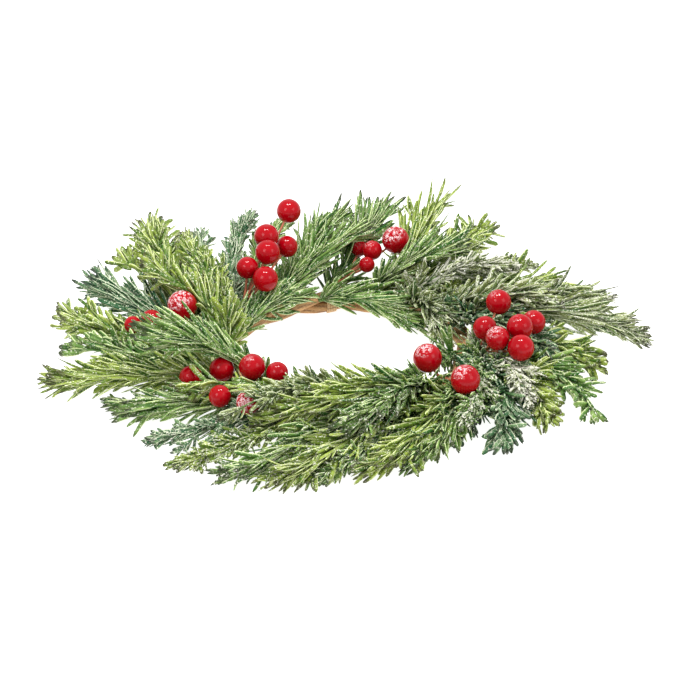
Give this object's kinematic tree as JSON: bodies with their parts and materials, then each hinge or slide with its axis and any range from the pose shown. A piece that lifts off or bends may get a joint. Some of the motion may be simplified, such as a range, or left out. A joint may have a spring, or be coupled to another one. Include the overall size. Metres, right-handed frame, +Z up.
{
  "type": "cedar candle ring",
  "caption": "Round wreath of cedar sprays and red berry picks on a twisted vine base, which lies flat round a pillar candle.",
  "frame": {"origin": "on the table, in the middle of the box that the ring fills", "axes": "+Z up; -Y towards the viewer of the picture; +X to that viewer's right"},
  "size_m": [0.3317, 0.2968, 0.0607],
  "materials": {
    "vine": "matte bark, ridged lengthwise",
    "tie": "waxed thread",
    "cedar_olive": "moulded evergreen, yellow-green with lighter edges",
    "cedar_green": "moulded evergreen, mid green",
    "cedar_blue": "moulded evergreen, blue-green",
    "cedar_frost": "moulded evergreen under white granular frost",
    "berry": "high gloss lacquer, some berries with white frost"
  },
  "bodies": {
    "root": {"berry_pick_1": "berry", "berry_pick_2": "berry", "berry_pick_3": "berry", "berry_pick_4": "berry", "berry_pick_5": "berry", "berry_pick_6": "berry", "binding_tie": "tie", "cedar_crown_01": "cedar_green", "cedar_crown_02": "cedar_olive", "cedar_crown_03": "cedar_frost", "cedar_crown_04": "cedar_olive", "cedar_crown_05": "cedar_green", "cedar_crown_06": "cedar_green", "cedar_crown_07": "cedar_frost", "cedar_crown_08": "cedar_blue", "cedar_crown_09": "cedar_frost", "cedar_crown_10": "cedar_frost", "cedar_crown_11": "cedar_green", "cedar_crown_12": "cedar_green", "cedar_crown_13": "cedar_olive", "cedar_crown_14": "cedar_olive", "cedar_inner_01": "cedar_green", "cedar_inner_02": "cedar_green", "cedar_inner_03": "cedar_frost", "cedar_inner_04": "cedar_green", "cedar_inner_05": "cedar_olive", "cedar_outer_01": "cedar_olive", "cedar_outer_02": "cedar_green", "cedar_outer_03": "cedar_blue", "cedar_outer_04": "cedar_olive", "cedar_outer_05": "cedar_green", "cedar_outer_06": "cedar_olive", "cedar_outer_07": "cedar_green", "cedar_outer_08": "cedar_olive", "cedar_outer_09": "cedar_green", "cedar_outer_10": "cedar_blue", "cedar_outer_11": "cedar_blue", "cedar_outer_12": "cedar_olive", "cedar_outer_13": "cedar_green", "cedar_outer_14": "cedar_olive", "cedar_outer_15": "cedar_frost", "cedar_outer_16": "cedar_frost", "cedar_outer_17": "cedar_olive", "cedar_outer_18": "cedar_frost", "cedar_outer_19": "cedar_olive", "cedar_outer_20": "cedar_olive", "cedar_outer_21": "cedar_green", "cedar_outer_22": "cedar_green", "cedar_outer_23": "cedar_green", "cedar_outer_24": "cedar_blue", "cedar_outer_25": "cedar_blue", "cedar_outer_26": "cedar_olive", "cedar_outer_27": "cedar_olive", "cedar_outer_28": "cedar_blue", "cedar_outer_29": "cedar_olive", "cedar_outer_30": "cedar_green", "vine_cane_1": "vine", "vine_cane_2": "vine", "vine_cane_3": "vine"}
  },
  "joints": []
}
